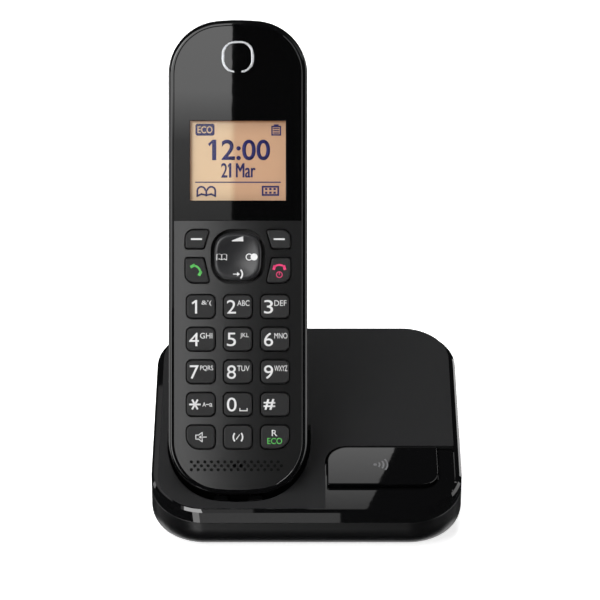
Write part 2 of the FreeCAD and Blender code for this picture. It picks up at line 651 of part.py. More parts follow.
# ---- keypad fascia: the matt inlay round the keys, with the dimpled band over the microphone ----
fascia = piece("keypad_fascia", HANDSET)
profile = sketch(fascia)
handset_outline(profile, "rim")
pad(fascia, profile, "inlay_depth", down=True)
profile = sketch(fascia)
rectangle(profile, "-handset_width", "handset_width", "panel_split - split_gap / 2", "2 * handset_length")
pocket(fascia, profile, "2 * inlay_depth")
key_openings(fascia, "2 * inlay_depth")
profile = sketch(fascia)
for side in ("-1", "1"):
    circle(profile, "mic_hole", side + " * mic_pitch / 2", "mic_height")
pocket(fascia, profile, "2 * inlay_depth")
profile = sketch(fascia)
rectangle(profile, "-groove_width / 2", "groove_width / 2", "mic_height - groove_tall / 2",
          "mic_height + groove_tall / 2")
pocket(fascia, profile, "groove_deep")
profile = sketch(fascia)
for shift, rows in (("0", "-1"), ("mic_pitch / 2", "0"), ("0", "1")):
    circle(profile, "dimple_radius", "dimple_left + " + shift, "mic_height + %s * mic_row" % rows)
dimples = pocket(fascia, profile, "dimple_deep")
run = fascia.newObject("PartDesign::LinearPattern", "keypad_fascia_dimples")
run.Originals = [dimples]
run.Direction = (profile, ["H_Axis"])
run.Occurrences = int(dim("dimple_count"))
run.setExpression("Length", bound("mic_pitch * (dimple_count - 1)"))
fascia.Tip = run

# ---- display lens: the glossy window above the keypad, grooved for the earpiece ring ----
lens = piece("display_lens", HANDSET)
profile = sketch(lens)
handset_outline(profile, "rim")
pad(lens, profile, "lens_thick", down=True)
profile = sketch(lens)
rectangle(profile, "-handset_width", "handset_width", "-handset_length", "panel_split + split_gap / 2")
pocket(lens, profile, "2 * inlay_depth")
profile = sketch(lens)
rounded_box(profile, "ring_size", "ring_size", "ring_corner", y="ring_height")
rounded_box(profile, "ring_size - 2 * ring_stroke", "ring_size - 2 * ring_stroke",
            "ring_corner - ring_stroke", y="ring_height")
pocket(lens, profile, "ring_deep")

ring = piece("earpiece_trim_ring", HANDSET)
profile = sketch(ring, z="-ring_deep")
rounded_box(profile, "ring_size", "ring_size", "ring_corner", y="ring_height")
rounded_box(profile, "ring_size - 2 * ring_stroke", "ring_size - 2 * ring_stroke",
            "ring_corner - ring_stroke", y="ring_height")
pad(ring, profile, "ring_deep + ring_proud")
profile = sketch(ring, z="ring_proud")
rectangle(profile, "-ring_gap / 2", "ring_gap / 2", "ring_height - ring_size", "ring_height - ring_size / 4")
pocket(ring, profile, "2 * ring_deep")

# ---- handset inner parts, from the front to the back ----
block("lcd_module", HANDSET, ("-screen_width / 2 - glass_margin", "screen_width / 2 + glass_margin",
                              "screen_low - glass_margin", "screen_low + screen_length + glass_margin"),
      "-inlay_depth - glass_thick", "glass_thick")
block("backlight_unit", HANDSET, ("-screen_width / 2", "screen_width / 2", "screen_low",
                                  "screen_low + screen_length"),
      "-inlay_depth - glass_thick - light_thick", "light_thick")
disc("receiver_capsule", HANDSET, "receiver_radius", "0", "ring_height", "-web_bottom - receiver_thick",
     "receiver_thick")
disc("microphone", HANDSET, "mic_radius", "0", "mic_height", "-mat_top - mat_thick", "mic_thick")
block("keypad_mat", HANDSET, ("-mat_width / 2", "mat_width / 2", "mat_low", "mat_high"),
      "-mat_top - mat_thick", "mat_thick")

circuit = piece("handset_circuit_board", HANDSET)
profile = sketch(circuit, z="-mat_top - mat_thick")
rounded_box(profile, "circuit_width", "circuit_high - circuit_low", "circuit_corner",
            y="(circuit_high + circuit_low) / 2")
pad(circuit, profile, "circuit_thick", down=True)

CIRCUIT_BACK = "mat_top + mat_thick + circuit_thick"
block("rf_shield_can", HANDSET, ("-can_width / 2", "can_width / 2", "can_height - can_tall / 2",
                                 "can_height + can_tall / 2"),
      "-(%s) - can_thick" % CIRCUIT_BACK, "can_thick")
disc("ringer_speaker", HANDSET, "ringer_radius", "0", "ringer_height", "-(%s) - ringer_thick" % CIRCUIT_BACK,
     "ringer_thick")

# ---- handset rear case: tapered towards both ends, with a channel for the battery door ----
rear = piece("handset_rear_case", HANDSET)
profile = sketch(rear, z="-front_depth")
handset_outline(profile)
pad(rear, profile, "handset_thick - front_depth", down=True)
SPAN = "2 * handset_width"
profile = sketch(rear, role="YZ_Plane", z="-handset_width")
polygon(profile, (("taper_start", "-handset_thick"), ("taper_start", "-handset_thick - 1"),
                  ("handset_length + 1", "-handset_thick - 1"), ("handset_length + 1", "-taper_thick")))
pocket(rear, profile, SPAN, up=True)
profile = sketch(rear, role="YZ_Plane", z="-handset_width")
polygon(profile, (("door_low", "-handset_thick"), ("-1", "-foot_thick"), ("-1", "-handset_thick - 1"),
                  ("door_low", "-handset_thick - 1")))
pocket(rear, profile, SPAN, up=True)


def rear_edge(edge):
    """Edges round the back face and the two tapers, but not the creases between them."""
    middle = edge.valueAt((edge.FirstParameter + edge.LastParameter) / 2)
    ends = [edge.valueAt(edge.FirstParameter), edge.valueAt(edge.LastParameter)]
    along_depth = max(end.z for end in ends) - min(end.z for end in ends) > 8
    inside = 1 < middle.y < dim("handset_length") - 1
    crease = abs(middle.x) < 1e-3 and abs(ends[0].y - ends[1].y) < 1e-3 and inside
    return middle.z < -dim("taper_thick") + 1 and not along_depth and not crease


fillet(rear, "handset_round", rear_edge)
profile = sketch(rear, z="-front_depth")
handset_outline(profile, "shell_wall")
pocket(rear, profile, "upper_hollow - front_depth")
profile = sketch(rear, z="-front_depth")
rectangle(profile, "-hollow_width / 2", "hollow_width / 2", "hollow_low", "taper_start")
pocket(rear, profile, "handset_thick - door_thick - shell_wall - front_depth")
profile = sketch(rear, z="-handset_thick + door_thick")
door_top = "door_high + door_gap"
rounded_box(profile, "door_width + 2 * door_gap", "%s + handset_width" % door_top,
            ("0.5", "door_corner", "door_corner", "0.5"), y="(%s - handset_width) / 2" % door_top)
pocket(rear, profile, "2 * door_thick")
profile = sketch(rear, z="-handset_thick + door_thick")
rectangle(profile, "-tray_width / 2", "tray_width / 2", "tray_low", "tray_high")
pocket(rear, profile, "2 * shell_wall", up=True)
profile = sketch(rear, z="-handset_thick")
for across, along in ((0, 0), (-1, 0), (1, 0), (-0.5, 0.87), (0.5, 0.87), (-0.5, -0.87), (0.5, -0.87)):
    circle(profile, "ringer_hole", "%s * ringer_pitch" % across, "ringer_height + %s * ringer_pitch" % along)
pocket(rear, profile, "handset_thick - upper_hollow + 1", up=True)
for side in ("-1", "1"):
    profile = sketch(rear, z="-contact_back - pad_length / 2")
    rectangle(profile, side + " * contact_across - pad_width / 2", side + " * contact_across + pad_width / 2",
              "-1", "pad_back")
    pocket(rear, profile, "pad_length", up=True)

for side, across in (("left", "-1"), ("right", "1")):
    block("handset_contact_" + side, HANDSET,
          (across + " * contact_across - pad_width / 2", across + " * contact_across + pad_width / 2",
           "pad_face", "pad_back"), "-contact_back - pad_length / 2", "pad_length")

# ---- battery door, tray, cells and end springs ----
door = piece("battery_door", HANDSET)
profile = sketch(door, z="-handset_thick")
rounded_box(profile, "door_width", "door_high - door_low", ("0.5", "door_corner", "door_corner", "0.5"),
            y="(door_high + door_low) / 2")
pad(door, profile, "door_thick")
fillet(door, "button_edge", level(-dim("handset_thick")))

tray = block("battery_tray", HANDSET, ("-tray_width / 2", "tray_width / 2", "tray_low", "tray_high"),
             "-handset_thick + door_thick", "handset_thick - door_thick - tray_top")
profile = sketch(tray, z="-handset_thick + door_thick")
rectangle(profile, "-tray_width / 2 + tray_wall", "tray_width / 2 - tray_wall", "tray_low + tray_wall",
          "tray_high - tray_wall")
pocket(tray, profile, "handset_thick - door_thick - tray_top - tray_wall", up=True)

for side, across in (("left", "-1"), ("right", "1")):
    cell = piece("battery_cell_" + side, HANDSET)
    profile = sketch(cell, role="XZ_Plane", z="-cell_low")
    circle(profile, "cell_radius", across + " * cell_spread", "-cell_depth")
    pad(cell, profile, "cell_long", down=True)
    profile = sketch(cell, role="XZ_Plane", z="-cell_low - cell_long")
    circle(profile, "nub_radius", across + " * cell_spread", "-cell_depth")
    pad(cell, profile, "nub_long", down=True)

for end, start in (("low", "cell_low - spring_gap - spring_thick"),
                   ("high", "cell_low + cell_long + nub_long + spring_gap")):
    block("battery_spring_" + end, HANDSET,
          ("-cell_spread - cell_radius", "cell_spread + cell_radius", start, start + " + spring_thick"),
          "-cell_depth - cell_radius", "2 * cell_radius")

# ---- keys ----
for row, names in enumerate(KEY_ROWS):
    for column, name in enumerate(names):
        key = piece(name, HANDSET)
        profile = sketch(key, z="-key_root - key_flange_thick")
        key_outline(profile, row, column, "key_flange")
        pad(key, profile, "key_flange_thick")
        profile = sketch(key, z="-key_root")
        key_outline(profile, row, column, "0")
        pad(key, profile, "key_root + key_proud")
        fillet(key, "key_edge", level(dim("key_proud")))
        if name == "key_5":
            profile = sketch(key, z="key_proud - key_edge")
            circle(profile, "pip_radius", "pip_left", "key_bottom_row + 3 * key_pitch_up - pip_down")
            pad(key, profile, "key_edge + pip_high")

for side_key in SIDE_KEYS:
    key = piece(side_key[0], HANDSET)
    profile = sketch(key, z="-key_root")
    side_key_outline(profile, side_key, "0")
    pad(key, profile, "key_root + key_proud")
    round_side_key(key, side_key, "0")
    fillet(key, "key_edge", level(dim("key_proud")))

# ---- navigator: a rocker that tilts up and down, and a pad on it that tilts left and right ----
disc("navigator_rocker", HANDSET, "rocker_radius", "0", "pad_centre", "-rocker_top - rocker_thick",
     "rocker_thick")

pad_key = piece("navigator_key", HANDSET)
profile = sketch(pad_key, z="-pad_root")
rounded_box(profile, "pad_size", "pad_size", "pad_corner", y="pad_centre")
pad(pad_key, profile, "pad_root + pad_proud")
fillet(pad_key, "pad_edge", level(dim("pad_proud")))

# ---- check every object, then write one file for each node ----
doc.recompute()
for item in doc.Objects:
    if "Invalid" in item.State or "Error" in item.State:
        raise ValueError("%s failed: %s" % (item.Name, item.State))
for body in nodes:
    if body.Shape.isNull() or not body.Shape.isValid():
        raise ValueError("%s has no valid shape" % body.Label)
    if len(body.Shape.Solids) != 1:
        raise ValueError("%s has %d solids" % (body.Label, len(body.Shape.Solids)))

os.makedirs("parts", exist_ok=True)
for body in nodes:
    body.Shape.exportStep("parts/%s.step" % body.Label)
print("%d nodes written" % len(nodes))
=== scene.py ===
import math
import bmesh
import bpy
from mathutils import Matrix, Vector


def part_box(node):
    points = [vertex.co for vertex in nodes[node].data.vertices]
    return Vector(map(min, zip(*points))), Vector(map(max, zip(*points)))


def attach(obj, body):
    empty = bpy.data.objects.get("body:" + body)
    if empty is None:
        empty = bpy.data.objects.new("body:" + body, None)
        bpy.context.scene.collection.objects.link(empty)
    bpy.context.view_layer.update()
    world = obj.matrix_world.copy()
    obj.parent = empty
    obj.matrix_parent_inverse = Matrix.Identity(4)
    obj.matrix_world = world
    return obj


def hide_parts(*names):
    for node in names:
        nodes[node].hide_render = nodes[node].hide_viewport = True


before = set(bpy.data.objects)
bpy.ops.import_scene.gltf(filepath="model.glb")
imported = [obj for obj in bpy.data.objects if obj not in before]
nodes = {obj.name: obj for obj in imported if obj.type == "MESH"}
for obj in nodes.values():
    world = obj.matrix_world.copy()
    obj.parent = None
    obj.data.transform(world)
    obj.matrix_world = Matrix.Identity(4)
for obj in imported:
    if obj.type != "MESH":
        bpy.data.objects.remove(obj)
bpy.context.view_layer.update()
MM = 0.001


# ---- studio ----
# A pale table under soft lamps, and a long lens that looks down at the phone from straight ahead.
# The cards are only mirrors' light: they show as reflections in the gloss, as a studio's panels do.
LOOK_DOWN = math.radians(27)
AIM = Vector((-2.28, 0, 60.6)) * MM
DISTANCE = 1009.5 * MM

camera_data = bpy.data.cameras.new("camera")
camera_data.lens = 172.84
camera_data.sensor_width = 36
camera_data.shift_y = 0.0621
camera_data.clip_start = 0.05
camera = bpy.data.objects.new("camera", camera_data)
camera.location = AIM + DISTANCE * Vector((0, -math.cos(LOOK_DOWN), math.sin(LOOK_DOWN)))
camera.rotation_euler = (math.pi / 2 - LOOK_DOWN, 0, 0)
bpy.context.collection.objects.link(camera)
bpy.context.scene.camera = camera
bpy.context.scene.view_settings.view_transform = "Standard"

world = bpy.data.worlds.new("studio")
world.use_nodes = True
world.node_tree.nodes["Background"].inputs["Color"].default_value = (0.9, 0.95, 1, 1)
world.node_tree.nodes["Background"].inputs["Strength"].default_value = 0.02
bpy.context.scene.world = world


def add_mesh(name, points, faces):
    """A mesh object from corner points in the row frame, in metres."""
    mesh = bpy.data.meshes.new(name)
    mesh.from_pydata([tuple(point) for point in points], [], faces)
    mesh.update()
    made = bpy.data.objects.new(name, mesh)
    bpy.context.collection.objects.link(made)
    return made


class Wire:
    """A socket of a material's nodes, on which sums add Math nodes."""

    def __init__(self, finish, socket):
        self.finish = finish
        self.socket = socket

    def sum(self, operation, first, second):
        return self.finish.node("ShaderNodeMath", {"operation": operation}, {0: first, 1: second})

    def __add__(self, other):
        return self.sum("ADD", self, other)

    def __sub__(self, other):
        return self.sum("SUBTRACT", self, other)

    def __rsub__(self, other):
        return self.sum("SUBTRACT", other, self)

    def __mul__(self, other):
        return self.sum("MULTIPLY", self, other)

    def __truediv__(self, other):
        return self.sum("DIVIDE", self, other)

    def __lt__(self, other):
        return self.sum("LESS_THAN", self, other)

    __radd__ = __add__
    __rmul__ = __mul__

    def clamped(self):
        return self.finish.node("ShaderNodeClamp", {}, {"Value": self})


class Finish:
    """A material: its surface shader, and one method that adds any other node."""

    def __init__(self, name, surface="ShaderNodeBsdfPrincipled", **plain):
        self.material = bpy.data.materials.new(name)
        self.material.use_nodes = True
        self.tree = self.material.node_tree
        self.tree.nodes.clear()
        self.output = self.tree.nodes.new("ShaderNodeOutputMaterial")
        self.surface = self.tree.nodes.new(surface)
        self.tree.links.new(self.surface.outputs[0], self.output.inputs["Surface"])
        for socket, value in plain.items():
            self.feed(self.surface.inputs[socket.replace("_", " ")], value)

    def feed(self, socket, value):
        if isinstance(value, Wire):
            self.tree.links.new(value.socket, socket)
        else:
            socket.default_value = value

    def node(self, kind, settings, inputs, output=0):
        made = self.tree.nodes.new(kind)
        for name, value in settings.items():
            setattr(made, name, value)
        for name, value in inputs.items():
            self.feed(made.inputs[name], value)
        return Wire(self, made.outputs[output])

    def place(self, axis=None):
        """The point on the piece at rest in metres, or one of its coordinates."""
        point = self.node("ShaderNodeTexCoord", {}, {}, "Object")
        if axis is None:
            return point
        return self.node("ShaderNodeSeparateXYZ", {}, {0: point}, axis)

    def noise(self, grain, detail=2.0, stretch=(1, 1, 1)):
        """Smooth unevenness whose lumps are about as wide as grain, in metres."""
        lumps = tuple(side / grain for side in stretch)
        point = self.node("ShaderNodeVectorMath", {"operation": "MULTIPLY"}, {0: self.place(), 1: lumps})
        return self.node("ShaderNodeTexNoise", {}, {"Vector": point, "Scale": 1.0, "Detail": detail}, "Fac")

    def blend(self, amount, first, second):
        """One colour where the amount is 0, another where it is 1."""
        return self.node("ShaderNodeMix", {"data_type": "RGBA"}, {0: amount, 6: first, 7: second}, 2)

    def relief(self, height, depth):
        """A bump of that depth, in metres, on the surface's normal."""
        bump = self.node("ShaderNodeBump", {}, {"Height": height, "Distance": depth}, "Normal")
        self.feed(self.surface.inputs["Normal"], bump)

    def cover(self, *pieces):
        """Gives the pieces this material and no other."""
        for piece in pieces:
            piece.data.materials.clear()
            piece.data.materials.append(self.material)


ROOM_HALF = 3
ROOM_HIGH = 4
room_corners = [(x * ROOM_HALF, y * ROOM_HALF) for x, y in ((-1, -1), (1, -1), (1, 1), (-1, 1))]
table = add_mesh("table", [(x, y, 0) for x, y in room_corners], [(0, 1, 2, 3)])
table_paint = Finish("table_paint", Base_Color=(0.9, 0.9, 0.9, 1), Roughness=0.9, Emission_Color=(1, 1, 1, 1),
                     Emission_Strength=0.8, Specular_IOR_Level=0)
walls = add_mesh("walls", [(x, y, z) for z in (0, ROOM_HIGH) for x, y in room_corners],
                 [(side, (side + 1) % 4, (side + 1) % 4 + 4, side + 4) for side in range(4)])
walls.visible_diffuse = False
walls.visible_shadow = False
for surround in (table, walls):
    table_paint.cover(surround)
    surround.visible_glossy = False


def lamp(name, place, aim, size, power):
    """A soft square lamp that shows in no reflection."""
    data = bpy.data.lights.new(name, "AREA")
    data.shape = "SQUARE"
    data.size = size
    data.energy = power
    made = bpy.data.objects.new(name, data)
    made.location = place
    made.rotation_euler = (Vector(aim) - Vector(place)).to_track_quat("-Z", "Y").to_euler()
    made.visible_glossy = False
    bpy.context.collection.objects.link(made)


lamp("overhead_lamp", (-0.3, 0.1, 1.3), (0, 0, 0.05), 1.2, 26)
lamp("front_lamp", (-0.7, -1.1, 0.9), (0, 0, 0.08), 0.7, 12)


def card(name, corners, low_glow, high_glow):
    """A glowing card that only the gloss sees, with the strength of its glow at its foot and its top."""
    made = add_mesh(name, corners, [(0, 1, 2, 3)])
    brightest = max(low_glow, high_glow)
    glow = Finish(name + "_glow", "ShaderNodeEmission", Strength=brightest)
    low = min(corner[2] for corner in corners)
    high = max(corner[2] for corner in corners)
    rise = ((glow.place("Z") - low) / (high - low)).clamped()
    shades = [(part / brightest,) * 3 + (1,) for part in (low_glow, high_glow)]
    glow.feed(glow.surface.inputs["Color"], glow.blend(rise, *shades))
    glow.cover(made)
    made.visible_camera = False
    made.visible_diffuse = False
    made.visible_shadow = False


def by_camera(left, right, low, high):
    """The corners of a card in the plane through the camera, beside it and above it in its own view."""
    up = Vector((0, math.sin(LOOK_DOWN), math.cos(LOOK_DOWN)))
    return [camera.location + Vector((across, 0, 0)) + along * up
            for across, along in ((left, low), (right, low), (right, high), (left, high))]


def upright(left, right, depth, low, high):
    """The corners of an upright card that faces the front."""
    return [(left, depth, low), (right, depth, low), (right, depth, high), (left, depth, high)]


def sideways(across, front, back, low, high):
    """The corners of an upright card that faces the side."""
    return [(across, front, low), (across, back, low), (across, back, high), (across, front, high)]


card("lens_card_low", by_camera(-0.35, -0.047, 0.02, 0.135), 0.35, 1.0)
card("lens_card_middle", by_camera(-0.35, -0.047, 0.135, 0.17), 1.0, 3.0)
card("lens_card_top", by_camera(-0.35, -0.047, 0.17, 0.26), 3.0, 3.4)
card("fascia_card", by_camera(-1.10, -0.36, -0.40, 0.25), 3.6, 3.6)
card("deck_card", [(-0.05, 0.75, 1.12), (0.099, 0.75, 1.12), (0.051, 0.75, 1.33), (-0.05, 0.75, 1.33)],
     3.2, 0.4)
card("deck_side_card", upright(-0.70, -0.05, 0.75, 1.12, 1.40), 0.5, 0.8)
card("band_card", upright(-0.50, 0.026, -0.95, -0.70, -0.35), 1.0, 1.0)
card("band_spot", upright(-0.50, -0.26, -0.94, -0.70, -0.35), 4.0, 4.0)
card("rim_card", upright(-1.40, -0.046, -1.25, 1.18, 1.60), 0.7, 0.7)
card("left_corner_card",
     [(-0.66, -0.72, 0.70), (-0.17, -0.92, 0.74), (-0.15, -0.78, 0.89), (-0.59, -0.64, 0.83)], 9.0, 9.0)
card("right_corner_card",
     [(0.85, -0.45, 0.78), (0.25, -0.76, 0.78), (0.25, -0.70, 1.05), (0.85, -0.40, 1.05)], 1.2, 1.2)
card("left_strip", sideways(-1.2, -0.38, 0.60, -0.35, 0.45), 2.4, 2.4)
card("right_strip", sideways(1.2, -0.90, 0.60, -0.35, 0.60), 2.0, 2.0)
card("right_back_strip",
     [(0.85, 1.25, 0.05), (1.25, 0.95, 0.05), (1.25, 0.95, 0.60), (0.85, 1.25, 0.60)], 3.0, 3.0)
card("back_card", upright(-0.9, 0.9, 1.5, 0.1, 0.8), 1.6, 0.3)
card("under_card", [(-0.6, 0.15, -0.50), (0.6, 0.15, -0.50), (0.6, 0.46, -0.48), (-0.6, 0.46, -0.48)],
     1.3, 1.3)


# ---- base tub, feet and screws ----
# The tub is moulded in plain black plastic with a satin skin, and stands on four rubber feet.
# Two steel screws come up through its floor into the upper case.
def soften(name, width):
    """Breaks the sharp edges of a CAD node by a width in metres, as a mould's edges are."""
    node = nodes[name]
    weld = node.modifiers.new("weld", "WELD")
    weld.merge_threshold = 1e-6
    bevel = node.modifiers.new("soft_edges", "BEVEL")
    bevel.width = width
    bevel.segments = 3
    bevel.limit_method = "ANGLE"
    bevel.angle_limit = math.radians(32)
    smooth = node.modifiers.new("even_normals", "WEIGHTED_NORMAL")
    smooth.keep_sharp = True
    return node


tub_skin = Finish("tub_skin", Base_Color=(0.002, 0.002, 0.0023, 1))
tub_grain = tub_skin.noise(0.0004, 3.0)
tub_skin.feed(tub_skin.surface.inputs["Roughness"], 0.30 + 0.10 * tub_grain)
tub_skin.relief(tub_grain, 0.00002)
tub_skin.cover(soften("base_lower_case", 0.0003))

foot_rubber = Finish("foot_rubber", Base_Color=(0.02, 0.02, 0.02, 1))
foot_grain = foot_rubber.noise(0.0006, 2.0)
foot_rubber.feed(foot_rubber.surface.inputs["Roughness"], 0.75 + 0.15 * foot_grain)
foot_rubber.relief(foot_grain, 0.00003)
for end in ("front", "back"):
    for side in ("left", "right"):
        foot_rubber.cover(soften("base_foot_%s_%s" % (end, side), 0.0002))

bright_steel = Finish("bright_steel", Base_Color=(0.55, 0.55, 0.54, 1), Metallic=1.0)
steel_brush = bright_steel.noise(0.0008, 3.0, (1, 12, 1))
bright_steel.feed(bright_steel.surface.inputs["Roughness"], 0.25 + 0.2 * steel_brush)
bright_steel.relief(steel_brush, 0.00001)
for name in ("base_screw_left", "base_screw_right", "rf_shield_can", "battery_spring_low",
             "battery_spring_high"):
    bright_steel.cover(soften(name, 0.0001))


# ---- base upper case and locator button ----
# The frame, the low panel and the cradle well are one moulding in black plastic with a mirror polish.
# The locator button is moulded in the same plastic and drops into the low panel from behind.
def mirror_black(name, tint=0.002):
    """Polished black plastic: a deep gloss with a trace of orange peel and handling haze."""
    made = Finish(name, Base_Color=(tint, tint, tint * 1.08, 1))
    haze = made.noise(0.012, 3.0)
    peel = made.noise(0.0035, 1.0)
    made.feed(made.surface.inputs["Roughness"], 0.006 + 0.018 * haze)
    made.relief(peel, 0.0000012)
    return made


case_gloss = mirror_black("case_gloss")
case_gloss.cover(soften("base_upper_case", 0.00045), soften("locator_button", 0.0003))

DECK_SLOPE = math.radians(14)
DECK = Matrix.Translation(Vector((0, -46.5, 17.45)) * MM) @ Matrix.Rotation(DECK_SLOPE, 4, "X")


def disc_line(x, y, radius):
    """A circle's outline in millimetres."""
    turns = [2 * math.pi * step / 28 for step in range(28)]
    return [(x + radius * math.cos(turn), y + radius * math.sin(turn)) for turn in turns]


def bar_line(x0, y0, x1, y1, width):
    """The outline of a straight stroke."""
    along = Vector((x1 - x0, y1 - y0)).normalized() * width / 2
    side = Vector((-along.y, along.x))
    start = Vector((x0, y0)) - along
    end = Vector((x1, y1)) + along
    return [tuple(start + side), tuple(start - side), tuple(end - side), tuple(end + side)]


def arc_line(x, y, radius, width, start, end, steps=16):
    """The outline of a curved stroke between two angles in degrees."""
    turns = [math.radians(start + (end - start) * step / steps) for step in range(steps + 1)]
    outer, inner = [[(x + reach * math.cos(turn), y + reach * math.sin(turn)) for turn in turns]
                    for reach in (radius + width / 2, radius - width / 2)]
    return outer + inner[::-1]


def outlined(outlines):
    """A flat curve filled between closed outlines, with a hole where one lies in another."""
    curve = bpy.data.curves.new("outline", "CURVE")
    curve.dimensions = "2D"
    curve.fill_mode = "BOTH"
    for outline in outlines:
        spline = curve.splines.new("POLY")
        spline.points.add(len(outline) - 1)
        for point, (x, y) in zip(spline.points, outline):
            point.co = (x * MM, y * MM, 0, 1)
        spline.use_cyclic_u = True
    return curve


def filled(*outlines):
    """A flat mesh inside closed outlines."""
    return flattened(outlined(outlines))


def flattened(curve):
    """The mesh of a curve or a text."""
    holder = bpy.data.objects.new("holder", curve)
    bpy.context.collection.objects.link(holder)
    bpy.context.view_layer.update()
    mesh = bpy.data.meshes.new_from_object(holder.evaluated_get(bpy.context.evaluated_depsgraph_get()))
    bpy.data.objects.remove(holder)
    return mesh


def fitted(name, mesh, body, finish):
    """The piece of that mesh, with its finish, riding on its body."""
    mesh.name = name
    made = bpy.data.objects.new(name, mesh)
    bpy.context.collection.objects.link(made)
    finish.cover(made)
    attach(made, body)
    return made


def letters(text, left, low, wide, tall, weight=0.0):
    """A flat mesh of plain lettering that fills a box in millimetres; weight thickens its strokes."""
    curve = bpy.data.curves.new("letters", "FONT")
    curve.body = text
    curve.offset = weight
    mesh = flattened(curve)
    xs = [point.co.x for point in mesh.vertices]
    ys = [point.co.y for point in mesh.vertices]
    for point in mesh.vertices:
        point.co.x = (left + wide * (point.co.x - min(xs)) / (max(xs) - min(xs))) * MM
        point.co.y = (low + tall * (point.co.y - min(ys)) / (max(ys) - min(ys))) * MM
        point.co.z = 0
    return mesh


FILM_THICK = 0.03


def ink(name, meshes, place, lift, body, finish):
    """A thin printed film: flat meshes joined, laid at a height or on a surface, and given to a body."""
    sheet = bmesh.new()
    for mesh in meshes:
        sheet.from_mesh(mesh)
    bmesh.ops.remove_doubles(sheet, verts=sheet.verts, dist=1e-7)
    bmesh.ops.recalc_face_normals(sheet, faces=sheet.faces)
    for face in sheet.faces:
        if face.normal.z < 0:
            face.normal_flip()
    joined = bpy.data.meshes.new(name)
    sheet.to_mesh(joined)
    sheet.free()
    for point in joined.vertices:
        point.co.z = (lift(point.co.x / MM, point.co.y / MM) if callable(lift) else lift) * MM
    joined.transform(place)
    film = fitted(name, joined, body, finish).modifiers.new("film", "SOLIDIFY")
    film.thickness = FILM_THICK * MM
    film.offset = -1


button_ink = Finish("button_ink", Base_Color=(0.12, 0.12, 0.125, 1))
ink_speckle = button_ink.noise(0.0003)
button_ink.feed(button_ink.surface.inputs["Roughness"], 0.35 + 0.2 * ink_speckle)
CALL_HEIGHT = 23.05
CALL_STROKE = 0.62
call_waves = [filled(disc_line(23.9, CALL_HEIGHT, CALL_STROKE))]
for number in range(3):
    spread = 30 + 2 * number
    wave = arc_line(23.4, CALL_HEIGHT, 2.1 + 1.35 * number, CALL_STROKE, -spread, spread)
    call_waves.append(filled(wave))
ink("locator_symbol", call_waves, DECK, 0.02, "button", button_ink)


# ---- base top plate ----
# A separate cover moulded in matt black plastic is laid into a recess of the frame.
# Its face comes from a spark-eroded mould, so it has a fine even grain.
plate_matt = Finish("plate_matt", Base_Color=(0.011, 0.011, 0.0115, 1))
plate_grain = plate_matt.noise(0.00045, 4.0)
plate_cloud = plate_matt.noise(0.03, 2.0)
plate_matt.feed(plate_matt.surface.inputs["Roughness"], 0.40 + 0.10 * plate_grain + 0.05 * plate_cloud)
plate_matt.relief(plate_grain, 0.00004)
plate_matt.cover(soften("base_top_plate", 0.00025))


# ---- boards, switch and sockets ----
# Green circuit boards carry the radio in base and handset. The two sockets sit in the back wall, moulded
# in black nylon, and the line socket has six sprung wires of plated bronze.
board_green = Finish("board_green", Base_Color=(0.02, 0.12, 0.05, 1))
tracks = board_green.noise(0.0015, 1.0, (1, 6, 1))
board_green.feed(board_green.surface.inputs["Roughness"], 0.3 + 0.25 * tracks)
board_green.relief(tracks, 0.00003)
board_green.cover(soften("base_circuit_board", 0.0001), soften("handset_circuit_board", 0.0001))

nylon_black = Finish("nylon_black", Base_Color=(0.016, 0.016, 0.017, 1))
nylon_grain = nylon_black.noise(0.0005, 3.0)
nylon_black.feed(nylon_black.surface.inputs["Roughness"], 0.5 + 0.2 * nylon_grain)
nylon_black.relief(nylon_grain, 0.00002)
for name in ("line_socket", "dc_inlet", "locator_switch", "receiver_capsule", "microphone", "ringer_speaker",
             "battery_tray"):
    nylon_black.cover(soften(name, 0.0002))

plated = Finish("plated", Base_Color=(0.80, 0.62, 0.28, 1), Metallic=1.0)
plate_wear = plated.noise(0.0007, 3.0)
plated.feed(plated.surface.inputs["Roughness"], 0.18 + 0.2 * plate_wear)


def wire(name, points, radius, body, finish):
    """A round wire along points in the row frame, in metres."""
    curve = bpy.data.curves.new(name, "CURVE")
    curve.dimensions = "3D"
    curve.bevel_depth = radius
    curve.bevel_resolution = 3
    curve.use_fill_caps = True
    spline = curve.splines.new("NURBS")
    spline.points.add(len(points) - 1)
    for point, place in zip(spline.points, points):
        point.co = (*place, 1)
    spline.order_u = 3
    spline.use_endpoint_u = True
    mesh = flattened(curve)
    mesh.polygons.foreach_set("use_smooth", [True] * len(mesh.polygons))
    return fitted(name, mesh, body, finish)


socket_low, socket_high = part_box("line_socket")
socket_x = (socket_low.x + socket_high.x) / 2
socket_z = (socket_low.z + socket_high.z) / 2
WIRE_COUNT = 6
WIRE_PITCH = 1.02
WIRE_BEND = ((11.5, 3.1), (3, 3.1), (2, 3.1), (2.5, 2.5), (8, 0.9))
for number in range(WIRE_COUNT):
    x = socket_x + (number - (WIRE_COUNT - 1) / 2) * WIRE_PITCH * MM
    wire("line_wire_%d" % (number + 1),
         [(x, socket_high.y - inward * MM, socket_z + height * MM) for inward, height in WIRE_BEND],
         0.2 * MM, "base", plated)

contact_metal = Finish("contact_metal", Base_Color=(0.72, 0.70, 0.64, 1), Metallic=1.0)
contact_wear = contact_metal.noise(0.0009, 3.0)
contact_metal.feed(contact_metal.surface.inputs["Roughness"], 0.16 + 0.22 * contact_wear)
for kind in ("charge", "handset"):
    for side in ("left", "right"):
        contact_metal.cover(soften("%s_contact_%s" % (kind, side), 0.0003))


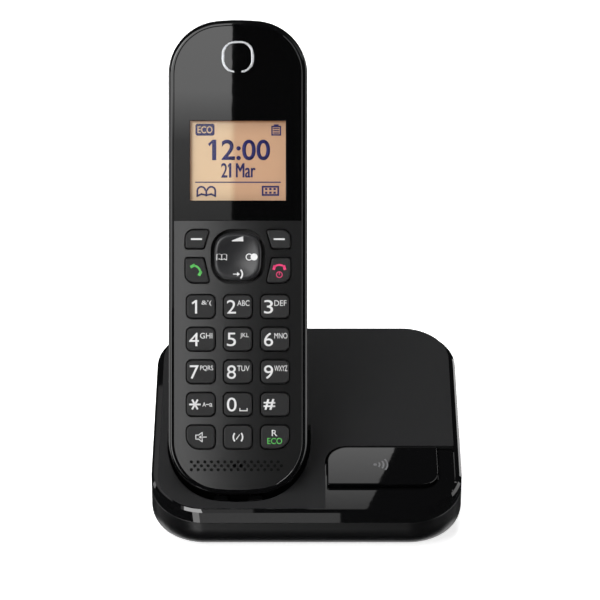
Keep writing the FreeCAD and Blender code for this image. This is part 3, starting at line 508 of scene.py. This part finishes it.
# ---- handset shell ----
# Two halves moulded in polished black plastic meet along the handset's sides.
# A battery door of the same plastic slides on the back.
LEAN = LOOK_DOWN
HANDSET_FOOT = Vector((-23.7, -39.3, 19.3)) * MM
HELD = Matrix.Translation(HANDSET_FOOT) @ Matrix.Rotation(math.pi / 2 - LEAN, 4, "X")
shell_gloss = mirror_black("shell_gloss")
for name in ("handset_front_case", "handset_rear_case", "battery_door"):
    shell_gloss.cover(soften(name, 0.0002))

HANDSET_HALF = 24
HANDSET_LONG = 164.2
CORNER_ROUND = 18.5
CROWN_ROUND = 69
CORNER_STEPS = 20
CROWN_STEPS = 5


def handset_edge(inset, low):
    """The handset's front outline above a height, set in from its edge, in millimetres."""
    corner = CORNER_ROUND - inset
    crown = CROWN_ROUND - inset
    crown_centre = HANDSET_LONG - CROWN_ROUND
    spread = HANDSET_HALF - CORNER_ROUND
    reach = math.sqrt((crown - corner) ** 2 - spread ** 2)
    swing = math.atan2(spread, reach)
    right = [(HANDSET_HALF - inset, low)]
    for step in range(CORNER_STEPS + 1):
        turn = (math.pi / 2 - swing) * step / CORNER_STEPS
        right.append((spread + corner * math.cos(turn), crown_centre + reach + corner * math.sin(turn)))
    for step in range(1, CROWN_STEPS + 1):
        turn = math.pi / 2 - swing * (1 - step / CROWN_STEPS)
        right.append((crown * math.cos(turn), crown_centre + crown * math.sin(turn)))
    return right + [(-x, y) for x, y in right[-2::-1]]


# ---- display lens, its window and the earpiece ring ----
# The lens is one piece of acrylic, painted black behind except for the window over the display.
# The earpiece is ringed by a thin band of satin chrome pressed into the lens.
WINDOW_LEFT, WINDOW_RIGHT, WINDOW_LOW, WINDOW_HIGH = -16.5, 16.5, 101.8, 129.3


def slab(name, outlines, front, thick, body, finish, edge=0.12):
    """A plate with that outline, its front face at a height and its front edges broken."""
    curve = outlined(outlines)
    curve.extrude = (thick / 2 - edge) * MM
    curve.bevel_depth = edge * MM
    curve.bevel_resolution = 2
    curve.offset = -edge * MM
    mesh = flattened(curve)
    mesh.transform(HELD @ Matrix.Translation((0, 0, (front - thick / 2) * MM)))
    return fitted(name, mesh, body, finish)


window_line = [(WINDOW_LEFT, WINDOW_LOW), (WINDOW_LEFT, WINDOW_HIGH), (WINDOW_RIGHT, WINDOW_HIGH),
               (WINDOW_RIGHT, WINDOW_LOW)]
lens_gloss = mirror_black("lens_gloss", 0.0012)
lens = slab("lens_glass", [handset_edge(2.02, 94.9), window_line], 0.0, 1.9, "handset", lens_gloss)
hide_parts("display_lens")

pane_clear = Finish("pane_clear", "ShaderNodeMixShader")
see_through = pane_clear.node("ShaderNodeBsdfTransparent", {}, {"Color": (0.93, 0.93, 0.93, 1)})
pane_wipe = 0.02 + 0.03 * pane_clear.noise(0.004)
pane_shine = pane_clear.node("ShaderNodeBsdfGlossy", {}, {"Roughness": pane_wipe})
pane_clear.surface.inputs[0].default_value = 0.025
pane_clear.feed(pane_clear.surface.inputs[1], see_through)
pane_clear.feed(pane_clear.surface.inputs[2], pane_shine)
pane = slab("lens_window", [window_line], -0.02, 0.5, "handset", pane_clear, edge=0.02)

ring_chrome = Finish("ring_chrome", Base_Color=(0.62, 0.63, 0.65, 1), Metallic=1.0)
ring_haze = ring_chrome.noise(0.0006, 3.0)
ring_chrome.feed(ring_chrome.surface.inputs["Roughness"], 0.20 + 0.12 * ring_haze)
ring_chrome.cover(soften("earpiece_trim_ring", 0.00015))


# ---- display ----
# A liquid crystal cell lies over a warm backlight: dark segments on an amber field, seen through the lens.
# The field carries painted shade along its left and top edges, where the lens's recess would shade it, and a
# painted reflection brightens its left part, so it is duller on its right.
amber = Finish("amber_field", Roughness=0.35, Emission_Strength=0.55)
amber_back = amber.place("Y") - HANDSET_FOOT.y
amber_rise = amber.place("Z") - HANDSET_FOOT.z
amber_up = amber_back * math.sin(LEAN) + amber_rise * math.cos(LEAN)
amber_x = amber.place("X") - HANDSET_FOOT.x
amber_cloud = amber.noise(0.010, 1.0)
# Painted reflection: the field's left part is brighter, standing in for a studio card mirrored in the lens,
# with a sharp fall to the duller right.
painted_reflection_fade = ((amber_x + 3.0 * MM) / (2.4 * MM)).clamped()
# Painted shade: the field darkens within about a millimetre of the window's left and top edges, where the
# recess walls would shade it.
painted_shade_left = ((amber_x - WINDOW_LEFT * MM) / (1.1 * MM)).clamped()
painted_shade_top = ((WINDOW_HIGH * MM - amber_up) / (0.9 * MM)).clamped()
amber_painted_reflection = (0.51, 0.366, 0.226, 1)
amber_unreflected = (0.394, 0.23, 0.135, 1)
amber_painted_shade = (0.22, 0.10, 0.045, 1)
amber_field = amber.blend(painted_reflection_fade * 0.9 + amber_cloud * 0.1, amber_painted_reflection, amber_unreflected)
amber_painted_light = amber.blend(painted_shade_left * painted_shade_top, amber_painted_shade, amber_field)
# Both the base colour and the glow carry this painted reflection and painted shade.
amber.feed(amber.surface.inputs["Base Color"], amber_painted_light)
amber.feed(amber.surface.inputs["Emission Color"], amber_painted_light)
amber.cover(nodes["lcd_module"], nodes["backlight_unit"])

crystal_ink = Finish("crystal_ink", Base_Color=(0.012, 0.011, 0.11, 1))
crystal_grain = crystal_ink.noise(0.0002)
crystal_ink.feed(crystal_ink.surface.inputs["Roughness"], 0.5 + 0.2 * crystal_grain)


def frame_line(left, right, low, high, width):
    """The two outlines of a box drawn as a line."""
    outer = [(left, low), (right, low), (right, high), (left, high)]
    inner = [(left + width, low + width), (right - width, low + width), (right - width, high - width),
             (left + width, high - width)]
    return filled(outer, inner)


def one(right, low, tall, stroke, flag=0.40):
    """A flat mesh of the figure 1: a stem with a flag that reaches out by a share of its height."""
    stem = [(right - stroke, low), (right, low), (right, low + tall), (right - 0.85 * stroke, low + tall)]
    tip = [(right - flag * tall, low + 0.80 * tall), (right - (flag - 0.06) * tall, low + 0.68 * tall)]
    return filled(stem + tip + [(right - stroke, low + 0.82 * tall)])


badge = [(-14.7, 124.8), (-14.2, 124.3), (-8.6, 124.3), (-8.1, 124.8),
         (-8.1, 127.9), (-8.6, 128.4), (-14.2, 128.4), (-14.7, 127.9)]
# The date's month is laid twice, a little apart, which thickens its upright strokes only.
screen = [
    one(-7.5, 115.8, 7.1, 1.45),
    letters("2:00", -5.7, 115.8, 16.8, 7.1, 0.018),
    letters("2", -5.85, 109.8, 2.2, 5.0, 0.01),
    one(-2.3, 109.8, 5.0, 0.8, 0.26),
    letters("Mar", -0.75, 109.8, 6.6, 5.0),
    letters("Mar", -0.50, 109.8, 6.6, 5.0),
    filled(bar_line(-14.6, 108.2, 14.6, 108.2, 0.4)),
    filled(badge),
    frame_line(11.5, 14.9, 124.3, 127.7, 0.5),
    filled(bar_line(12.6, 127.95, 13.8, 127.95, 0.5)),
    frame_line(8.2, 14.2, 103.5, 106.95, 0.6),
]
screen += [filled(bar_line(12.4, height, 14.0, height, 0.4)) for height in (125.2, 126.0, 126.8)]
for x in (9.75, 11.2, 12.65):
    screen += [filled(bar_line(x - 0.05, y, x + 0.05, y, 0.7)) for y in (104.6, 105.85)]


def open_book(x, y, wide, tall, width, arch=1.0):
    """The strokes of an open book's symbol about its centre: two arched pages and a spine."""
    foot, lift = y - tall / 2, y - tall * 0.32
    spring = y + tall / 2 - arch * wide / 4
    strokes = [bar_line(x, y - tall * 0.45, x, spring, width)]
    for side in (-1, 1):
        page = x + side * wide / 4
        edge = x + side * (wide / 2 - width / 2)
        hump = arc_line(page, spring, wide / 4 - width / 2, width, 0, 180, 10)
        strokes.append([(across, spring + arch * (along - spring)) for across, along in hump])
        strokes.append(bar_line(page, lift, edge, foot, width))
        strokes.append(bar_line(page, lift, x, y - tall * 0.42, width))
        strokes.append(bar_line(edge, foot, edge, spring, width))
    return [filled(stroke) for stroke in strokes]


screen += open_book(-10.95, 105.2, 6.8, 3.5, 0.62)
ink("display_figures", screen, HELD, -1.96, "handset", crystal_ink)
ink("display_badge_word", [letters("ECO", -14.0, 125.1, 5.2, 2.5, 0.02)], HELD, -1.92, "handset", amber)


# ---- keypad fascia ----
# A matt inlay of dark grey plastic lies round the keys, crowned a little from side to side.
# The band over the microphone is dimpled, and the floors of its dimples are rougher and carry painted shade,
# darker than the face.
FASCIA_CROWN = 0.085
DIMPLE_FLOOR = -0.4 * MM
fascia_matt = Finish("fascia_matt")
fascia_grain = fascia_matt.noise(0.0003, 3.0)
fascia_x = fascia_matt.place("X") - HANDSET_FOOT.x
fascia_back = fascia_matt.place("Y") - HANDSET_FOOT.y
fascia_rise = fascia_matt.place("Z") - HANDSET_FOOT.z
dimple_painted_shade_and_roughness = fascia_rise * math.sin(LEAN) - fascia_back * math.cos(LEAN) < DIMPLE_FLOOR
fascia_matt.feed(fascia_matt.surface.inputs["Roughness"], 0.34 + 0.10 * fascia_grain + 0.5 * dimple_painted_shade_and_roughness)
# Painted shade: the dimple floors take a near-black colour where the recess would shade them.
fascia_matt.feed(fascia_matt.surface.inputs["Base Color"],
                 fascia_matt.blend(dimple_painted_shade_and_roughness, (0.005, 0.005, 0.0052, 1), (0.0005, 0.0005, 0.0005, 1)))
fascia_matt.relief(fascia_grain * 0.00001 - fascia_x * fascia_x / (2 * FASCIA_CROWN), 1.0)
fascia_matt.cover(soften("keypad_fascia", 0.00015))

mat_rubber = Finish("mat_rubber", Base_Color=(0.05, 0.05, 0.05, 1))
mat_grain = mat_rubber.noise(0.0008)
mat_rubber.feed(mat_rubber.surface.inputs["Roughness"], 0.6 + 0.2 * mat_grain)
mat_rubber.cover(soften("keypad_mat", 0.0001), soften("navigator_rocker", 0.0001))


# ---- keys ----
# Each cap is moulded in dark grey plastic with a satin top, and rests on the rubber mat behind it.
# The legends are printed on the caps in light grey, green or pink ink.
key_satin = Finish("key_satin", Base_Color=(0.006, 0.006, 0.0063, 1))
key_grain = key_satin.noise(0.00035, 3.0)
key_satin.feed(key_satin.surface.inputs["Roughness"], 0.42 + 0.12 * key_grain)
key_satin.relief(key_grain, 0.00001)


def print_finish(name, color):
    """Printing ink with a slight speckle."""
    made = Finish(name, Base_Color=(*color, 1))
    speckle = made.noise(0.0002)
    made.feed(made.surface.inputs["Roughness"], 0.4 + 0.2 * speckle)
    return made


white_ink = print_finish("white_ink", (0.56, 0.56, 0.56))
green_ink = print_finish("green_ink", (0.07, 0.40, 0.07))
pink_ink = print_finish("pink_ink", (0.62, 0.025, 0.13))

COLUMN_PITCH, ROW_PITCH, LOWEST_ROW = 12.78, 11.24, 20.25
KEY_TOP = 0.93
DIGIT_TALL = 4.65
DIGIT_LOW = -2.4
GROUP_LOW = 0.25
# Each row's keys: the digit, its letters, where the letters start from the key's centre, and their width.
DIAL = (
    (("1", "&'(", 0.25, 3.5), ("2", "ABC", -0.2, 4.2), ("3", "DEF", -0.2, 4.2)),
    (("4", "GHI", -0.2, 4.2), ("5", "JKL", 0.8, 3.0), ("6", "MNO", -0.2, 4.5)),
    (("7", "PQRS", -0.2, 4.45), ("8", "TUV", -0.2, 4.2), ("9", "WXYZ", -0.2, 4.5)),
)


def key_centre(row, column):
    """A key's centre on the handset's face, in millimetres."""
    return (column - 1) * COLUMN_PITCH, LOWEST_ROW + (4 - row) * ROW_PITCH


def dial_figure(digit, x, y):
    """The digit of a dial key, to the left of its centre."""
    if digit == "1":
        return one(x - 1.25, y + DIGIT_LOW, DIGIT_TALL, 0.7)
    left, wide = (-4.0, 3.4) if digit == "4" else (-3.75, 3.1)
    return letters(digit, x + left, y + DIGIT_LOW, wide, DIGIT_TALL)


for row, keys in enumerate(DIAL):
    for column, (digit, group, group_left, group_wide) in enumerate(keys):
        x, y = key_centre(row, column)
        legend = [dial_figure(digit, x, y), letters(group, x + group_left, y + GROUP_LOW, group_wide, 1.9)]
        ink("key_%s_legend" % digit, legend, HELD, KEY_TOP, "key_%s_cap" % digit, white_ink)

x, y = key_centre(3, 0)
star = []
for turn in (0, math.pi / 3, -math.pi / 3):
    across, along = 1.65 * math.cos(turn), 1.65 * math.sin(turn)
    star.append(filled(bar_line(x - 2.0 + across, y + along, x - 2.0 - across, y - along, 0.6)))
star += [letters("A", x + 0.6, y - 0.75, 1.2, 1.5), filled(bar_line(x + 2.0, y, x + 2.9, y, 0.25)),
         letters("a", x + 3.0, y - 0.75, 1.0, 1.2)]
ink("key_star_legend", star, HELD, KEY_TOP, "key_star_cap", white_ink)

x, y = key_centre(3, 1)
space_bar = [filled(bar_line(x + 0.7, y - 1.4, x + 0.7, y - 2.1, 0.3)),
             filled(bar_line(x + 0.7, y - 2.15, x + 3.2, y - 2.15, 0.35)),
             filled(bar_line(x + 3.2, y - 1.4, x + 3.2, y - 2.1, 0.3))]
zero = letters("0", x - 3.75, y + DIGIT_LOW, 3.3, 4.75)
ink("key_0_legend", [zero] + space_bar, HELD, KEY_TOP, "key_0_cap", white_ink)

x, y = key_centre(3, 2)
gate = letters("#", x - 3.9, y - 1.85, 4.0, 3.7, 0.02)
ink("key_hash_legend", [gate], HELD, KEY_TOP, "key_hash_cap", white_ink)

x, y = key_centre(4, 0)
speaker = [filled(bar_line(x - 1.7, y - 0.7, x - 1.7, y + 0.7, 0.28)),
           filled(bar_line(x - 0.2, y, x + 1.9, y, 0.28)),
           filled([(x - 0.7, y), (x + 0.1, y + 0.55), (x + 0.1, y - 0.55)])]
horn = ((-1.7, 0.7), (-0.7, 0.7), (0.5, 1.6), (0.5, 0.5))
for side in (-1, 1):
    for (start, start_up), (end, end_up) in zip(horn, horn[1:]):
        speaker.append(filled(bar_line(x + start, y + side * start_up, x + end, y + side * end_up, 0.28)))
ink("speaker_key_legend", speaker, HELD, KEY_TOP, "speaker_key_cap", white_ink)

x, y = key_centre(4, 1)
hold = [filled(arc_line(x + 0.55, y, 2.1, 0.5, 140, 222)), filled(arc_line(x - 0.45, y, 2.1, 0.5, -42, 40)),
        filled(bar_line(x - 0.5, y - 0.7, x + 0.55, y + 0.75, 0.3))]
ink("mute_key_legend", hold, HELD, KEY_TOP, "mute_key_cap", white_ink)

x, y = key_centre(4, 2)
recall_letter = letters("R", x - 1.1, y + 0.35, 1.9, 2.1, 0.005)
recall_word = letters("ECO", x - 2.6, y - 2.4, 5.1, 2.1, 0.008)
ink("recall_key_letter", [recall_letter], HELD, KEY_TOP, "recall_key_cap", white_ink)
ink("recall_key_word", [recall_word], HELD, KEY_TOP, "recall_key_cap", green_ink)

dial_keys = ["key_%d" % digit for digit in range(10)] + ["key_star", "key_hash"]
word_keys = ["speaker_key", "mute_key", "recall_key"]
side_keys = ["soft_key_left", "soft_key_right", "talk_key", "off_key"]
key_satin.cover(*[nodes[name] for name in dial_keys + word_keys + side_keys])


# ---- keys beside the navigator ----
# Two soft keys under the display carry a printed dash each, and are moulded like the other keys.
# The call keys carry a printed receiver, lifted in green, and laid down in pink over a power symbol.
for side, name in ((-1, "soft_key_left"), (1, "soft_key_right")):
    dash = filled(bar_line(side * 14.25 - 1.6, 88.45, side * 14.25 + 1.6, 88.45, 0.6))
    ink(name + "_dash", [dash], HELD, KEY_TOP, name + "_cap", white_ink)


def receiver(x, y, turn, size):
    """A telephone receiver's symbol: a curved grip between an earpiece and a mouthpiece."""
    strokes = [arc_line(0, -2.2 * size, 3.0 * size, 0.75 * size, 45, 135)]
    for side in (-1, 1):
        strokes.append(bar_line(side * 2.25 * size, -0.75 * size, side * 2.0 * size, 0.1 * size, 1.1 * size))
    spin = Matrix.Rotation(turn, 2)
    return [filled([tuple(spin @ Vector(point) + Vector((x, y))) for point in stroke]) for stroke in strokes]


ink("talk_symbol", receiver(-14.1, 78.1, math.radians(-45), 0.85), HELD, KEY_TOP, "talk_key_cap", green_ink)
ink("off_symbol", receiver(14.3, 78.9, 0, 0.82), HELD, KEY_TOP, "off_key_cap", pink_ink)
power = [filled(arc_line(14.3, 76.2, 1.0, 0.26, 0, 360)), filled(bar_line(14.3, 76.3, 14.3, 77.2, 0.26))]
ink("power_symbol", power, HELD, KEY_TOP, "off_key_cap", pink_ink)


# ---- navigator ----
# The big pad is moulded in satin black plastic and sits on a rubber rocker, so that it rocks four ways.
# Its face is dished a little inside a rounded rim, and printed with four symbols.
PAD_CENTRE = 82.4
PAD_HALF = 8.2
PAD_STEPS = 64
PAD_WALL = ((PAD_HALF, -3.6), (PAD_HALF, 0.15), (8.12, 0.55), (7.9, 0.85), (7.55, 1.03))
PAD_DISH = ((7.1, 1.08), (6.4, 0.93), (5.4, 0.70), (4.0, 0.42), (2.4, 0.20), (0.9, 0.10))
INK_LIFT = 0.02


def pad_power(half):
    """How square a ring of the pad is: square at the rim and round in the middle."""
    return 2 + 1.2 * (half / PAD_HALF) ** 2


def pad_ring(half, height):
    """A ring of the pad: a rounded square drawn by a power formula, in the row frame."""
    power = pad_power(half)
    ring = []
    for step in range(PAD_STEPS):
        turn = 2 * math.pi * step / PAD_STEPS
        reach = half * (abs(math.cos(turn)) ** power + abs(math.sin(turn)) ** power) ** (-1 / power)
        x, y = reach * math.cos(turn), PAD_CENTRE + reach * math.sin(turn)
        ring.append(HELD @ (Vector((x, y, height)) * MM))
    return ring


def pad_height(x, y):
    """The height of a print on the pad's dished face, at a point on the handset's front."""
    outside = []
    for half, height in PAD_DISH:
        power = pad_power(half)
        outside.append((abs(x) ** power + abs(y - PAD_CENTRE) ** power) ** (1 / power) - half)
    for number, (outer, inner) in enumerate(zip(PAD_DISH, PAD_DISH[1:])):
        if outside[number] <= 0 <= outside[number + 1]:
            share = -outside[number] / (outside[number + 1] - outside[number])
            return outer[1] + (inner[1] - outer[1]) * share + INK_LIFT
    nearest = PAD_DISH[0] if outside[0] > 0 else PAD_DISH[-1]
    return nearest[1] + INK_LIFT


pad_points, pad_faces = [], []
for half, height in PAD_WALL + PAD_DISH:
    pad_points += pad_ring(half, height)
last_ring = len(pad_points) - PAD_STEPS
for start in range(0, last_ring, PAD_STEPS):
    for step in range(PAD_STEPS):
        ahead = (step + 1) % PAD_STEPS
        pad_faces.append((start + step, start + ahead, start + PAD_STEPS + ahead, start + PAD_STEPS + step))
pad_faces.append(tuple(range(PAD_STEPS - 1, -1, -1)))
pad_faces.append(tuple(last_ring + step for step in range(PAD_STEPS)))
pad = add_mesh("navigator_pad", pad_points, pad_faces)
pad.data.polygons.foreach_set("use_smooth", [True] * (len(pad_faces) - 2) + [False, True])
pad.data.update()
pad_satin = Finish("pad_satin", Base_Color=(0.014, 0.014, 0.015, 1))
pad_grain = pad_satin.noise(0.0003, 3.0)
pad_satin.feed(pad_satin.surface.inputs["Roughness"], 0.26 + 0.10 * pad_grain)
pad_satin.cover(pad)
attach(pad, "navigator")
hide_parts("navigator_key")

wedge = filled([(-2.0, 87.7), (1.85, 87.7), (1.85, 89.45), (-2.0, 88.0)])
redial = [filled(disc_line(3.9, 82.3, 1.2), disc_line(3.9, 82.3, 0.9)),
          filled(disc_line(5.6, 82.3, 1.2))]
answer = [filled(bar_line(-1.5, 76.4, 0.2, 76.4, 0.32)), filled([(0.75, 76.4), (-0.25, 77.1), (-0.25, 75.7)]),
          filled(arc_line(-0.55, 76.4, 2.1, 0.5, -45, 45))]
ink("volume_symbol", [wedge], HELD, pad_height, "navigator", white_ink)
ink("book_symbol", open_book(-5.55, 82.3, 3.6, 2.1, 0.24, 0.4), HELD, pad_height, "navigator", white_ink)
ink("redial_symbol", redial, HELD, pad_height, "navigator", white_ink)
ink("answer_symbol", answer, HELD, pad_height, "navigator", white_ink)


# ---- battery and its door ----
# Two cells in shrunk green sleeves lie in a tray under the door, between sprung contacts.
# The door is moulded in the handset's black plastic, with four raised grip bars across it.
cell_sleeve = Finish("cell_sleeve", Base_Color=(0.03, 0.18, 0.07, 1))
sleeve_grain = cell_sleeve.noise(0.004, 2.0)
cell_sleeve.feed(cell_sleeve.surface.inputs["Roughness"], 0.25 + 0.15 * sleeve_grain)
cell_sleeve.cover(soften("battery_cell_left", 0.0003), soften("battery_cell_right", 0.0003))

GRIP_DEPTH = -26
for number in range(4):
    height = 90 + 2.6 * number
    grip_line = [HELD @ (Vector((x, height, GRIP_DEPTH)) * MM) for x in (-6, -3, 0, 3, 6)]
    grip = wire("door_grip_%d" % (number + 1), grip_line, 0.35 * MM, "door", shell_gloss)
